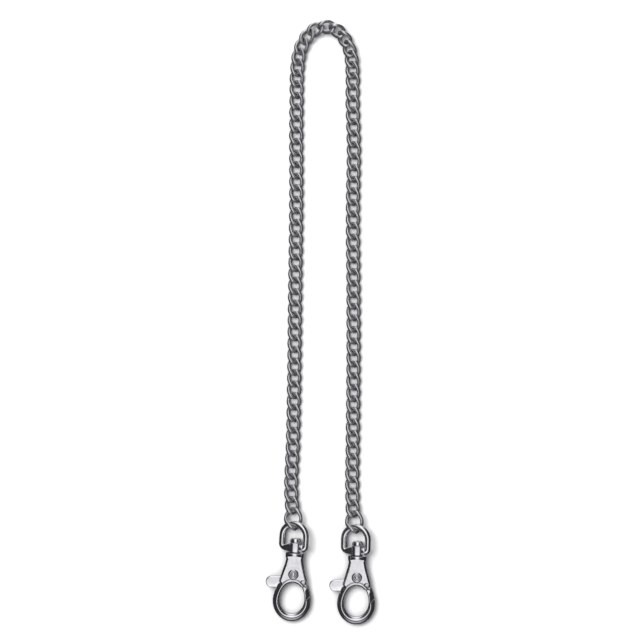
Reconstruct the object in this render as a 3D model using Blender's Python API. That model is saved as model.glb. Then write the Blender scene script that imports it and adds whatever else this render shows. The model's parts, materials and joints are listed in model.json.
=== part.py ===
"""Wallet chain: a steel curb chain folded in a U, with a swivel trigger snap hook on each end.

The chain lies on the table with +Z up and +Y from the hooks towards the fold.
All dimensions below are in millimetres. MM turns them into metres when a mesh is made.
The chain has 87 links. They are built as rigid pairs, except the three links at the fold.
"""

import math

import bpy
import numpy as np
from mathutils import Matrix

MM = 0.001

# Curb link
LINK_WIRE = 1.13
LINK_HALF_LENGTH = 2.49
LINK_HALF_WIDTH = 1.785
LINK_TWIST = 45.0
LINK_SQUARENESS = 2.3
LINK_PITCH = 3.73
LINK_STATIONS = 12
WIRE_SIDES = 6

# End link, which joins the chain to the swivel bow
END_WIRE = 1.16
END_HALF_LENGTH = 3.3
END_HALF_WIDTH = 2.45
END_TWIST_CHAIN = 45.0
END_TWIST_BOW = 70.0
END_STATIONS = 18
END_SIDES = 8
END_TO_BOW = 1.58
END_SLIDE = -1.05
END_TO_LINK = 4.5
END_HINGE = 2.67

# Number of links laid at the full pitch from each end. The rest are bunched in the fold.
LEFT_STRAIGHT = 37
RIGHT_STRAIGHT = 38
LINK_COUNT = 87
FOLD_MIDDLE = 43

# Where the chain runs: points on its centreline, left hook to right hook
LEFT_ROUTE = [
    (-9.45, -54.7, 1.45), (-9.42, -50.5, 1.25), (-8.97, -40.8, 1.25), (-8.61, -24.7, 1.25),
    (-8.23, 7.6, 1.25), (-7.84, 39.8, 1.25), (-7.74, 72.1, 1.25), (-7.5, 82.0, 1.25),
]
FOLD_ROUTE = [
    (-6.8, 87.4, 1.4), (-5.1, 91.5, 1.6), (-2.2, 94.6, 2.0), (1.5, 95.7, 2.5),
    (5.2, 94.6, 2.3), (8.0, 91.5, 1.9), (9.7, 87.3, 1.6),
]
RIGHT_ROUTE = [
    (10.3, 82.0, 1.3), (10.35, 72.1, 1.25), (10.75, 56.0, 1.25), (10.48, 39.8, 1.25),
    (10.65, 7.6, 1.25), (10.58, -24.7, 1.25), (10.39, -40.8, 1.25), (10.25, -51.5, 1.25),
    (10.3, -55.6, 1.45),
]
# How far some links in the fold lean over, in degrees, by their number along the chain
FOLD_ROLL = {39: 10, 40: 10, 41: 10, 43: -20, 44: -30, 45: -30, 46: -30, 47: -20, 48: -10}

# Swivel bow (D-ring)
BOW_WIRE = 1.9
BOW_HALF_WIDTH = 4.05
BOW_TOP = 9.2
BOW_BASE = 1.38
BOW_CORNER = 1.1
BOW_ARCH = 4.0
BOW_SIDES = 8
BOW_ROLL = 20.0
BOW_SHIFT = -0.6
BOW_SWELL = 0.3
BARREL_RADIUS = 1.75
BARREL_BOTTOM = 0.15
BARREL_TOP = 3.2
BARREL_HOLE = 0.85

# Swivel rivet, which holds the bow on the hook
STUD_RADIUS = 0.75
STUD_DEPTH = 1.3
STUD_HOLE_DEPTH = 1.4
STUD_HOLE_RADIUS = 0.8
HEAD_BOTTOM = 3.3
HEAD_TOP = 4.9
HEAD_RADIUS = 1.85

# Hook body
COLLAR_PROFILE = [(0.0, 0.0), (2.7, 0.0), (2.9, -0.2), (2.9, -1.1), (2.75, -1.3),
                  (2.75, -1.7), (2.45, -3.0), (0.0, -3.0)]
FLAT_HEIGHT = 1.95
STRAND_HEIGHT = 1.68
EYE_Y = -15.6
EYE_HALF_WIDTH = 4.05
EYE_BELOW = 4.5
EYE_ABOVE = 5.9
LOOP_HALF_WIDTH = 6.12
LOOP_BELOW = 6.8
SLOT_HALF = 0.85
SLOT_TOP = -4.7
SLOT_BOTTOM = -12.4
PIVOT_Y = -6.9
PIN_RADIUS = 0.8
PIN_HOLE = 0.88
PIN_HEAD_RADIUS = 1.7
PIN_HEAD_GAP = 0.05
PIN_HEAD_HEIGHT = 0.35

# Trigger lever
LEVER_HALF = 0.75
HUB_RADIUS = 2.0
HUB_TOP = 0.1
GATE_HALF = 1.3
GATE_BEVEL = 0.35

# Torsion spring on the pivot pin, in the hub's recess
SPRING_WIRE = 0.22
SPRING_RADIUS = 1.25
SPRING_TURNS = 2.0
SPRING_LOW = 0.26
SPRING_PITCH = 0.24
SPRING_LEG = 1.1

# Where each hook lies: swivel centre, lean in the plane of the table, and slope of its end link
LEFT_SWIVEL = (-8.25, -73.7, 3.12)
RIGHT_SWIVEL = (11.85, -74.7, 3.12)
LEFT_LEAN = -3.8
RIGHT_LEAN = -1.4
HOOK_SLOPE = 4.0
LEFT_END_RUN = (-0.10, 1.0, -0.25)
RIGHT_END_RUN = (-0.12, 1.0, -0.25)

# Middle of the bounding box, moved to the origin
CENTRE_X = -0.11
CENTRE_Y = 0.42
FLOOR_Z = -0.06


def clear_scene():
    for obj in list(bpy.data.objects):
        bpy.data.objects.remove(obj, do_unlink=True)


def make_material(name, colour, roughness):
    material = bpy.data.materials.new(name)
    material.use_nodes = True
    shader = material.node_tree.nodes["Principled BSDF"]
    shader.inputs["Base Color"].default_value = (*colour, 1.0)
    shader.inputs["Roughness"].default_value = roughness
    shader.inputs["Metallic"].default_value = 1.0
    return material


def frame_of(origin, x_axis, y_axis, z_axis):
    """4x4 matrix with these axes and this origin, in millimetres."""
    frame = np.eye(4)
    frame[:3, 0] = x_axis
    frame[:3, 1] = y_axis
    frame[:3, 2] = z_axis
    frame[:3, 3] = origin
    return frame


def turn(axis, degrees):
    """4x4 rotation about a principal axis, 0, 1 or 2."""
    c, s = math.cos(math.radians(degrees)), math.sin(math.radians(degrees))
    i, j = (axis + 1) % 3, (axis + 2) % 3
    frame = np.eye(4)
    frame[i, i] = frame[j, j] = c
    frame[i, j], frame[j, i] = -s, s
    return frame


def shift(x, y, z):
    frame = np.eye(4)
    frame[:3, 3] = (x, y, z)
    return frame


def moved(frame, points):
    return np.asarray(points) @ frame[:3, :3].T + frame[:3, 3]


def add_solid(name, points, faces, frame, material, smooth=True):
    """One mesh object whose points are given in its own frame, in millimetres."""
    mesh = bpy.data.meshes.new(name)
    mesh.from_pydata((np.asarray(points) * MM).tolist(), [], [list(f) for f in faces])
    mesh.validate()
    mesh.polygons.foreach_set("use_smooth", [smooth] * len(mesh.polygons))
    if material:
        mesh.materials.append(material)
    obj = bpy.data.objects.new(name, mesh)
    placed = frame.copy()
    placed[:3, 3] *= MM
    obj.matrix_basis = Matrix(placed.tolist())
    bpy.context.scene.collection.objects.link(obj)
    return obj


def add_cutter(name, points, faces, frame):
    obj = add_solid(name, points, faces, frame, None, smooth=False)
    obj.hide_render = True
    obj.display_type = "WIRE"
    return obj


def combine(obj, other, operation):
    modifier = obj.modifiers.new(other.name, "BOOLEAN")
    modifier.operation = operation
    modifier.object = other
    modifier.solver = "EXACT"


def loft(rings, closed):
    """Points and outward faces of a bar through equal rings. Each ring runs clockwise as seen
    from the bar's far end."""
    count, sides = len(rings), len(rings[0])
    points = np.concatenate(rings)
    faces = []
    for i in range(count if closed else count - 1):
        a, b = i * sides, (i + 1) % count * sides
        for j in range(sides):
            k = (j + 1) % sides
            faces.append((a + j, b + j, b + k, a + k))
    if not closed:
        faces.append(tuple(range(sides)))
        last = (count - 1) * sides
        faces.append(tuple(reversed(range(last, last + sides))))
    return points, faces


def revolve(profile, sides):
    """Solid of revolution about Y from (radius, y) points that start and end on the axis,
    listed from its top to its bottom."""
    rings = profile[1:-1]
    points = [(0.0, profile[0][1], 0.0)]
    for radius, y in rings:
        for k in range(sides):
            angle = 2 * math.pi * k / sides
            points.append((radius * math.sin(angle), y, radius * math.cos(angle)))
    points.append((0.0, profile[-1][1], 0.0))
    faces = []
    end = len(points) - 1
    last = 1 + (len(rings) - 1) * sides
    for k in range(sides):
        n = (k + 1) % sides
        faces.append((0, 1 + k, 1 + n))
        faces.append((end, last + n, last + k))
        for i in range(len(rings) - 1):
            a = 1 + i * sides
            faces.append((a + k, a + sides + k, a + sides + n, a + n))
    return points, faces


def prism(outline, low, high):
    """Upright prism on a counter-clockwise (x, y) outline."""
    count = len(outline)
    points = [(x, y, low) for x, y in outline] + [(x, y, high) for x, y in outline]
    faces = [tuple(reversed(range(count))), tuple(range(count, 2 * count))]
    for i in range(count):
        j = (i + 1) % count
        faces.append((i, j, count + j, count + i))
    return points, faces


def bevelled_prism(outline, half, bevel):
    """Prism on a convex counter-clockwise outline, from -half to half, with bevelled rims."""
    outline = np.array(outline, float)
    before = outline - np.roll(outline, 1, axis=0)
    after = np.roll(outline, -1, axis=0) - outline
    normals = []
    for edge in (before, after):
        unit = edge / np.linalg.norm(edge, axis=1)[:, None]
        normals.append(np.stack([-unit[:, 1], unit[:, 0]], 1))
    inward = normals[0] + normals[1]
    inward /= (1 + (normals[0] * normals[1]).sum(1))[:, None]
    inner = outline + bevel * inward
    levels = [(inner, -half), (outline, -half + bevel), (outline, half - bevel), (inner, half)]
    rings = [np.column_stack([ring, np.full(len(ring), z)]) for ring, z in levels]
    points, faces = loft(rings, closed=False)
    return points, [tuple(reversed(face)) for face in faces]


def arc(centre, radius, start, end, count):
    """Points on a circle, from angle start to angle end in degrees."""
    angles = np.radians(np.linspace(start, end, count))
    return [(centre[0] + radius * math.cos(a), centre[1] + radius * math.sin(a)) for a in angles]


# ---------------------------------------------------------------- links

def link_centreline(turns, half_length, half_width, twist_up, twist_down):
    """Points, tangents and inward directions along a twisted link whose long axis is Y."""

    def at(t):
        c, s = np.cos(t), np.sin(t)
        power = 2 / LINK_SQUARENESS
        u = half_length * np.sign(c) * np.abs(c) ** power
        v = half_width * np.sign(s) * np.abs(s) ** power
        twist = np.radians(np.where(u > 0, twist_up, twist_down)) * u / half_length
        flat = np.stack([np.cos(twist), np.zeros_like(u), np.sin(twist)], 1)
        return flat * v[:, None] + np.stack([0 * u, u, 0 * u], 1), flat

    points, _ = at(turns)
    ahead, _ = at(turns + 1e-4)
    behind, _ = at(turns - 1e-4)
    tangents = ahead - behind
    tangents /= np.linalg.norm(tangents, axis=1)[:, None]
    inward = np.zeros_like(points)
    inward[:, 1] = -np.cos(turns)
    _, flat = at(turns)
    inward -= flat * np.sin(turns)[:, None]
    inward -= tangents * (inward * tangents).sum(1)[:, None]
    inward /= np.linalg.norm(inward, axis=1)[:, None]
    return points, tangents, inward


def link_mesh(wire, half_length, half_width, twist_up, twist_down, stations, sides):
    """Tube around a twisted link, with a flat of the tube facing the link's middle."""
    turns = 2 * math.pi * (np.arange(stations) + 0.5) / stations
    points, tangents, inward = link_centreline(
        turns, half_length, half_width, twist_up, twist_down)
    across = np.cross(tangents, inward)
    rings = []
    for k in range(stations):
        angles = 2 * math.pi * (np.arange(sides) - 0.5) / sides
        ring = np.cos(angles)[:, None] * inward[k] - np.sin(angles)[:, None] * across[k]
        rings.append(points[k] + ring * wire / 2)
    return loft(rings, closed=True)


def chain_link():
    return link_mesh(LINK_WIRE, LINK_HALF_LENGTH, LINK_HALF_WIDTH, LINK_TWIST, LINK_TWIST,
                     LINK_STATIONS, WIRE_SIDES)


def bearing_face(up):
    """Number of the tube face on the inside of the link's upper end if up, else its lower end,
    where the next link bears."""
    station = LINK_STATIONS - 1 if up else LINK_STATIONS // 2 - 1
    return station * WIRE_SIDES


def joined_pair(lower_frame, upper_frame):
    """Two linked links made one body by a small bridge where their wires touch."""
    points, faces = chain_link()
    count = len(points)
    all_points = np.concatenate([moved(lower_frame, points), moved(upper_frame, points)])
    lower_faces = list(faces)
    upper_faces = [tuple(index + count for index in face) for face in faces]
    lower_quad = lower_faces.pop(bearing_face(up=True))
    upper_quad = upper_faces.pop(bearing_face(up=False))
    upper_back = tuple(reversed(upper_quad))
    best = min(range(4), key=lambda k: sum(
        np.linalg.norm(all_points[lower_quad[i]] - all_points[upper_back[(i + k) % 4]])
        for i in range(4)))
    bridge = []
    for i in range(4):
        j = (i + 1) % 4
        bridge.append((lower_quad[i], lower_quad[j],
                       upper_back[(j + best) % 4], upper_back[(i + best) % 4]))
    return all_points, lower_faces + upper_faces + bridge


# ---------------------------------------------------------------- route of the chain

def smooth_route(points, steps=60):
    """Points along a smooth curve through the given points."""
    points = np.array(points, float)
    padded = np.vstack([2 * points[0] - points[1], points, 2 * points[-1] - points[-2]])
    gaps = np.linalg.norm(np.diff(padded, axis=0), axis=1)[:, None]
    slopes = np.diff(padded, axis=0) / gaps
    tangents = slopes[:-1] * gaps[1:] + slopes[1:] * gaps[:-1]
    tangents /= gaps[:-1] + gaps[1:]
    curve = []
    for i in range(len(points) - 1):
        t = np.arange(steps)[:, None] / steps
        reach = gaps[i + 1]
        curve.append((2 * t**3 - 3 * t**2 + 1) * points[i]
                     + (t**3 - 2 * t**2 + t) * tangents[i] * reach
                     + (3 * t**2 - 2 * t**3) * points[i + 1]
                     + (t**3 - t**2) * tangents[i + 1] * reach)
    curve.append(points[-1:])
    return np.concatenate(curve)


def along(curve, distances):
    """Points at these distances along a curve."""
    lengths = np.concatenate([[0], np.cumsum(np.linalg.norm(np.diff(curve, axis=0), axis=1))])
    return np.stack([np.interp(distances, lengths, curve[:, k]) for k in range(3)], 1)


def lying_frame(origin, direction, roll):
    """Frame at origin with Y along direction and Z as near upright as it goes, then rolled."""
    y_axis = direction / np.linalg.norm(direction)
    z_axis = np.array([0.0, 0.0, 1.0]) - y_axis * y_axis[2]
    z_axis /= np.linalg.norm(z_axis)
    frame = frame_of(origin, np.cross(y_axis, z_axis), y_axis, z_axis)
    return frame @ turn(1, -roll)


def link_frames(start, finish):
    """Frames of the links from the left end of the chain to the right end."""
    curve = smooth_route([start] + LEFT_ROUTE + FOLD_ROUTE + RIGHT_ROUTE + [finish])
    total = np.linalg.norm(np.diff(curve, axis=0), axis=1).sum()
    left = np.arange(LEFT_STRAIGHT) * LINK_PITCH
    right = total - np.arange(RIGHT_STRAIGHT)[::-1] * LINK_PITCH
    bunched = LINK_COUNT - LEFT_STRAIGHT - RIGHT_STRAIGHT
    fold = np.linspace(left[-1], right[0], bunched + 2)[1:-1]
    distances = np.concatenate([left, fold, right])
    centres = along(curve, distances)
    directions = along(curve, distances + 0.9) - along(curve, distances - 0.9)
    return [lying_frame(centres[i], directions[i], FOLD_ROLL.get(i, 0))
            for i in range(LINK_COUNT)]


def hinge_frame(frame, neighbour):
    """Frame of a link's hinge: halfway to its neighbour, with the link's own axes."""
    hinge = frame.copy()
    hinge[:3, 3] = (frame[:3, 3] + neighbour[:3, 3]) / 2
    return hinge


def add_chain(frames, material):
    """The three middle links alone, then pairs out to each end. Every node's origin is on the
    hinge towards the middle of the chain."""
    points, faces = chain_link()
    middle = FOLD_MIDDLE
    add_solid("fold_link_middle", points, faces, frames[middle], material)
    for side, index, inner in (("left", middle - 1, middle), ("right", middle + 1, middle)):
        hinge = hinge_frame(frames[index], frames[inner])
        local = moved(np.linalg.inv(hinge) @ frames[index], points)
        add_solid(f"fold_link_{side}", local, faces, hinge, material)
    for number in range(21):
        low = middle - 3 - 2 * number
        add_pair(f"left_chain_links_{number + 1:02d}", frames, low, low + 1, low + 2, material)
        low = middle + 2 + 2 * number
        add_pair(f"right_chain_links_{number + 1:02d}", frames, low, low, low - 1, material)


def add_pair(name, frames, first, hinged, inner, material):
    """Links first and first + 1, hinged at link `hinged` to the link `inner`."""
    hinge = hinge_frame(frames[hinged], frames[inner])
    inverse = np.linalg.inv(hinge)
    points, faces = joined_pair(inverse @ frames[first], inverse @ frames[first + 1])
    add_solid(name, points, faces, hinge, material)


def add_end_link(name, bow_point, run, material):
    """The larger link between the chain and the swivel bow. Its origin is where the first
    chain link bears on it."""
    centre = np.array(bow_point) + END_TO_BOW * unit(run)
    frame = lying_frame(centre, unit(run), 0.0) @ shift(0, END_HINGE, 0)
    points, faces = link_mesh(END_WIRE, END_HALF_LENGTH, END_HALF_WIDTH, END_TWIST_CHAIN,
                              END_TWIST_BOW, END_STATIONS, END_SIDES)
    add_solid(name, points - (0, END_HINGE, 0), faces, frame, material)


def unit(vector):
    vector = np.array(vector, float)
    return vector / np.linalg.norm(vector)


# ---------------------------------------------------------------- hook parts

def eye_point(angle):
    """Point on the eye's edge, an egg that is narrower towards the swivel."""
    a = math.radians(angle)
    height = EYE_ABOVE if math.sin(a) > 0 else EYE_BELOW
    return np.array([EYE_HALF_WIDTH * math.cos(a), EYE_Y + height * math.sin(a)])


def loop_point(angle):
    """Point on the outer edge of the loop below the eye's widest place."""
    a = math.radians(angle)
    return np.array([LOOP_HALF_WIDTH * math.cos(a), EYE_Y + LOOP_BELOW * math.sin(a)])


def body_stations():
    """(edge of the eye, outer edge, how much it is shoulder) from the gate's side over the
    shoulder, down the left strand and round to the hook's tip."""
    shoulder = [
        (52, (4.7, -9.9), 0.0), (57.5, (4.45, -9.0), 0.0), (59.5, (4.35, -8.6), 1.0),
        (68, (3.65, -6.2), 1.0),
        (76, (3.0, -4.0), 1.0), (83, (2.3, -2.0), 1.0), (90, (0.0, -1.6), 1.0),
        (97, (-2.3, -2.0), 1.0), (104, (-2.95, -4.0), 1.0), (112, (-3.6, -6.2), 1.0),
        (121, (-4.25, -8.4), 0.9), (131, (-4.85, -10.3), 0.55), (142, (-5.37, -12.0), 0.2),
        (154, (-5.77, -13.4), 0.0), (167, (-6.03, -14.6), 0.0), (180, (-6.12, -15.7), 0.0),
    ]
    stations = [(eye_point(a), np.array(outer), plate) for a, outer, plate in shoulder]
    for angle in range(192, 349, 12):
        stations.append((eye_point(angle), loop_point(angle), 0.0))
    stations.append((eye_point(360), np.array([6.02, -13.75]), 0.0))
    return stations


def body_section(inner, outer, plate):
    """Ring around the bar between an edge of the eye and the outer edge."""
    width = np.linalg.norm(outer - inner)
    strand = [(0, 0.85), (0.32, 1.4), (0.7, STRAND_HEIGHT), (1.0, STRAND_HEIGHT - 0.04),
              (width - 0.4, 1.2), (width - 0.08, 0.85), (width, 0.5)]
    shoulder = [(0, 0.85), (0.32, 1.4), (0.95, STRAND_HEIGHT), (1.2, FLAT_HEIGHT),
                (width - 0.6, FLAT_HEIGHT), (width - 0.15, 1.5), (width, 1.0)]
    top = (1 - plate) * np.array(strand) + plate * np.array(shoulder)
    section = np.concatenate([top, top[::-1] * (1, -1)])
    across = (outer - inner) / width
    points = inner + section[:, :1] * across
    return np.column_stack([points, section[:, 1]])


def add_hook_body(name, frame, material):
    rings = [body_section(*station) for station in body_stations()]
    points, faces = loft(rings, closed=False)
    body = add_solid(name, points, faces, frame, material)
    combine(body, add_cutter(f"{name}_collar", *revolve(COLLAR_PROFILE, 24), frame), "UNION")
    for side, low, high in (("top", FLAT_HEIGHT, 4.0), ("bottom", -4.0, -FLAT_HEIGHT)):
        square = [(-4, -5.0), (4, -5.0), (4, -1.75), (-4, -1.75)]
        flat = add_cutter(f"{name}_flat_{side}", *prism(square, low, high), frame)
        combine(body, flat, "DIFFERENCE")
    slab = [(-8, SLOT_BOTTOM), (8, SLOT_BOTTOM), (8, SLOT_TOP), (-8, SLOT_TOP)]
    slot = add_cutter(f"{name}_slot", *prism(slab, -SLOT_HALF, SLOT_HALF), frame)
    combine(body, slot, "DIFFERENCE")
    circle = arc((0, PIVOT_Y), PIN_HOLE, 0, 360, 17)[:-1]
    pin_hole = add_cutter(f"{name}_pin_hole", *prism(circle, -4, 4), frame)
    combine(body, pin_hole, "DIFFERENCE")
    bore = [(0, 1), (STUD_HOLE_RADIUS, 1), (STUD_HOLE_RADIUS, -STUD_HOLE_DEPTH),
            (0, -STUD_HOLE_DEPTH)]
    stud_hole = add_cutter(f"{name}_stud_hole", *revolve(bore, 16), frame)
    combine(body, stud_hole, "DIFFERENCE")
    return body


def add_swivel_rivet(name, frame, material):
    """Stud and domed head. The stud sits in the collar and passes through the bow's barrel."""
    dome = [(0, HEAD_TOP), (0.75, HEAD_TOP - 0.12), (1.3, HEAD_TOP - 0.45),
            (1.65, HEAD_TOP - 0.95), (HEAD_RADIUS, HEAD_TOP - 1.3), (1.6, HEAD_BOTTOM)]
    stud = [(STUD_RADIUS, HEAD_BOTTOM), (STUD_RADIUS, -STUD_DEPTH), (0, -STUD_DEPTH)]
    return add_solid(name, *revolve(dome + stud, 18), frame, material)


def bow_centreline():
    """(x, y, wire radius) around the D, from the right of its barrel to the left of it. The
    barrel is off the middle, and the base thickens towards it."""
    x, low, high = BOW_HALF_WIDTH, BOW_BASE, BOW_TOP - BOW_ARCH
    right = [(x - BOW_CORNER, low)]
    right += arc((x - BOW_CORNER, low + BOW_CORNER), BOW_CORNER, -60, 0, 3)
    right += [(x, (low + BOW_CORNER + high) / 2 - 0.4), (x, high)]
    arch = [(x * math.cos(a), high + BOW_ARCH * math.sin(a))
            for a in np.radians(np.linspace(18, 90, 5))]
    right += arch
    left = [(-px, py) for px, py in reversed(right[:-1])]
    wire = BOW_WIRE / 2
    base = BARREL_RADIUS - 0.2
    return ([(base, low, wire + BOW_SWELL)]
            + [(px + BOW_SHIFT, py, wire) for px, py in right + left]
            + [(-base, low, wire + BOW_SWELL)])


def add_swivel_bow(name, frame, material):
    """D-shaped bow with a barrel in its base. Its origin is on the bow where the link hangs."""
    stations = np.array(bow_centreline())
    path = stations * (1, 1, 0)
    tangents = np.roll(path, -1, axis=0) - np.roll(path, 1, axis=0)
    tangents /= np.linalg.norm(tangents, axis=1)[:, None]
    rings = []
    for centre, tangent, radius in zip(path, tangents, stations[:, 2]):
        inward = np.array([-tangent[1], tangent[0], 0.0])
        angles = 2 * math.pi * np.arange(BOW_SIDES) / BOW_SIDES
        ring = np.cos(angles)[:, None] * inward - np.sin(angles)[:, None] * (0, 0, 1)
        rings.append(centre + ring * radius)
    points, faces = loft(rings, closed=True)
    origin = frame @ shift(0, BOW_TOP, 0)
    bow = add_solid(name, points - (0, BOW_TOP, 0), faces, origin, material)
    barrel = [(0, BARREL_TOP), (BARREL_RADIUS - 0.15, BARREL_TOP),
              (BARREL_RADIUS, BARREL_TOP - 0.15), (BARREL_RADIUS, BARREL_BOTTOM + 0.15),
              (BARREL_RADIUS - 0.15, BARREL_BOTTOM), (0, BARREL_BOTTOM)]
    bore = [(0, 5), (BARREL_HOLE, 5), (BARREL_HOLE, -1), (0, -1)]
    combine(bow, add_cutter(f"{name}_barrel", *revolve(barrel, 18), frame), "UNION")
    combine(bow, add_cutter(f"{name}_bore", *revolve(bore, 16), frame), "DIFFERENCE")
    return bow


def lever_outline():
    """Counter-clockwise outline of the lever plate, from the thumb tab to the gate."""
    tab = arc((-7.05, -9.95), 1.85, 95, 270, 8)
    under = [(-4.3, -11.7), (-2.6, -10.35), (-1.3, -9.45), (1.3, -9.45), (2.5, -10.3),
             (3.3, -11.6)]
    over = [(4.5, -10.6), (4.05, -8.9), (1.75, -6.1)]
    hub = arc((0, PIVOT_Y), HUB_RADIUS - 0.15, 25, 155, 8)
    shoulder = [(-1.9, -6.3), (-3.4, -7.8)]
    return tab + under + over + hub + shoulder


def gate_outline():
    """Counter-clockwise outline of the gate bar, with its lower end slanted to meet the tip."""
    return [(2.98, -11.2), (3.62, -12.6), (3.95, -13.9), (4.05, -15.3), (5.82, -13.62),
            (5.45, -12.2), (4.83, -10.15), (3.9, -10.75)]


def add_trigger(name, frame, material):
    """Thumb tab, lever and gate in one piece that turns on the pivot pin."""
    axis = shift(0, PIVOT_Y, 0)
    origin = frame @ axis
    points, faces = prism(lever_outline(), -LEVER_HALF, LEVER_HALF)
    trigger = add_solid(name, moved(np.linalg.inv(axis), points), faces, origin, material)
    gate = add_cutter(f"{name}_gate", *bevelled_prism(gate_outline(), GATE_HALF, GATE_BEVEL),
                      frame)
    combine(trigger, gate, "UNION")
    recess = arc((0, PIVOT_Y), HUB_RADIUS + 0.1, 0, 360, 25)[:-1]
    combine(trigger, add_cutter(f"{name}_recess", *prism(recess, HUB_TOP, 2), frame),
            "DIFFERENCE")
    hole = arc((0, PIVOT_Y), PIN_HOLE, 0, 360, 17)[:-1]
    combine(trigger, add_cutter(f"{name}_hole", *prism(hole, -2, 2), frame), "DIFFERENCE")
    return trigger


def add_pivot_pin(name, frame, material):
    """Pin with a domed head on each face of the shoulder. A shallow ring is cut in each head."""
    seat = FLAT_HEIGHT + PIN_HEAD_GAP
    top = seat + PIN_HEAD_HEIGHT
    head = [(0, top - 0.12), (0.85, top - 0.12), (0.98, top), (1.4, top - 0.03),
            (PIN_HEAD_RADIUS, top - 0.2), (PIN_HEAD_RADIUS, seat), (PIN_RADIUS, seat)]
    foot = [(radius, -y) for radius, y in reversed(head)]
    upright = frame @ shift(0, PIVOT_Y, 0) @ turn(0, 90)
    return add_solid(name, *revolve(head + foot, 14), upright, material)


def add_spring(name, frame, material):
    """Torsion spring around the pin, with one straight leg that rests against the slot."""
    steps = int(SPRING_TURNS * 12)
    path = []
    for i in range(steps + 1):
        angle = math.radians(60 + 30 * i)
        path.append((SPRING_RADIUS * math.cos(angle), SPRING_RADIUS * math.sin(angle),
                     SPRING_LOW + SPRING_PITCH * i / 12))
    end = math.radians(60 + 30 * steps)
    leg = (path[-1][0] - SPRING_LEG * math.sin(end), path[-1][1] + SPRING_LEG * math.cos(end),
           path[-1][2])
    path = np.array(path + [leg])
    tangents = np.gradient(path, axis=0)
    tangents /= np.linalg.norm(tangents, axis=1)[:, None]
    rings = []
    for centre, tangent in zip(path, tangents):
        side = unit(np.cross((0, 0, 1), tangent))
        up = np.cross(tangent, side)
        angles = 2 * math.pi * np.arange(5) / 5
        ring = np.cos(angles)[:, None] * side - np.sin(angles)[:, None] * up
        rings.append(centre + ring * SPRING_WIRE / 2)
    points, faces = loft(rings, closed=False)
    return add_solid(name, points, faces, frame @ shift(0, PIVOT_Y, 0), material)


def hook_frame(swivel, lean):
    return shift(*swivel) @ turn(2, lean) @ turn(0, HOOK_SLOPE)


def add_hook(side, frame, steel, bright, spring_steel):
    add_hook_body(f"{side}_hook_body", frame, bright)
    add_swivel_rivet(f"{side}_swivel_rivet", frame, bright)
    add_swivel_bow(f"{side}_swivel_bow", frame @ turn(1, -BOW_ROLL), bright)
    add_trigger(f"{side}_trigger", frame, bright)
    add_pivot_pin(f"{side}_pivot_pin", frame, steel)
    add_spring(f"{side}_trigger_spring", frame, spring_steel)


def main():
    clear_scene()
    links = make_material("chain_steel", (0.42, 0.42, 0.43), 0.32)
    hooks = make_material("hook_nickel", (0.66, 0.66, 0.67), 0.26)
    pins = make_material("pin_steel", (0.55, 0.55, 0.56), 0.35)
    springs = make_material("spring_steel", (0.30, 0.30, 0.31), 0.4)

    placed = shift(-CENTRE_X, -CENTRE_Y, -FLOOR_Z)
    ends = []
    for side, swivel, lean, run in (("left", LEFT_SWIVEL, LEFT_LEAN, LEFT_END_RUN),
                                    ("right", RIGHT_SWIVEL, RIGHT_LEAN, RIGHT_END_RUN)):
        frame = hook_frame(swivel, lean)
        add_hook(side, placed @ frame, pins, hooks, springs)
        bow_point = moved(frame @ turn(1, -BOW_ROLL), [(END_SLIDE, BOW_TOP, 0)])[0]
        add_end_link(f"{side}_end_link", moved(placed, [bow_point])[0], run, links)
        ends.append(bow_point + (END_TO_BOW + END_TO_LINK) * unit(run))
    frames = link_frames(tuple(ends[0]), tuple(ends[1]))
    add_chain([placed @ frame for frame in frames], links)


main()
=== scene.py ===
"""Looks of the wallet chain: every link and hook part as a fine mesh, its metals, and the studio.

Lengths are in millimetres until a mesh is made. The chain's route and the hooks' places repeat
those of the CAD model, so that each piece lies where its node does.
"""

import json
import math
import random

import bpy
import numpy as np
from mathutils import Matrix, Vector

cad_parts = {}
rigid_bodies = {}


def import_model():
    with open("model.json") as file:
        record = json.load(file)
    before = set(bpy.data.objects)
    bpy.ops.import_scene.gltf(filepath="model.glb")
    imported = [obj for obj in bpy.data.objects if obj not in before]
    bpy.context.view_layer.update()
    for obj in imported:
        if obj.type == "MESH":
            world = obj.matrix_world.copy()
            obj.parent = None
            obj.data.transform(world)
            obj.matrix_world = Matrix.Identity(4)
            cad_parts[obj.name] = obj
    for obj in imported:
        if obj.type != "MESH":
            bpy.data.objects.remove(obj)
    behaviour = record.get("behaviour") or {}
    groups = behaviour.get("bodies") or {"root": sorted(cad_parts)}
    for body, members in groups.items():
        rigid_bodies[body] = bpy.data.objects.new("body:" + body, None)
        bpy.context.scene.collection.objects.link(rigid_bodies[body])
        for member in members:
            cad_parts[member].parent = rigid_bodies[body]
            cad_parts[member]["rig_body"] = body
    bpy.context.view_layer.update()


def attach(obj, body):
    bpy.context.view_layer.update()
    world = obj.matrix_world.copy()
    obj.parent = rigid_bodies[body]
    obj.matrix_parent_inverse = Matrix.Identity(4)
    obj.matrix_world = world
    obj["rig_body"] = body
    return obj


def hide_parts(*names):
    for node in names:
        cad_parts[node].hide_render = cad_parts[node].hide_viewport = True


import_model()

MM = 0.001
EDGE_ANGLE = 32.0

# Curb link. The wire is a hair thinner than in the CAD model.
LINK_WIRE = 1.11
LINK_HALF_LENGTH = 2.49
LINK_HALF_WIDTH = 1.765
LINK_TWIST = 45.0
LINK_SQUARENESS = 2.3
LINK_PITCH = 3.73
LINK_STATIONS = 56
WIRE_SIDES = 16
SEAM_DEPTH = 0.035
SEAM_HALF = 0.03

# End link
END_WIRE = 1.13
END_HALF_LENGTH = 3.3
END_HALF_WIDTH = 2.45
END_TWIST_CHAIN = 45.0
END_TWIST_BOW = 70.0
END_TO_BOW = 1.58
END_SLIDE = -1.05
END_TO_LINK = 4.5

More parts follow.
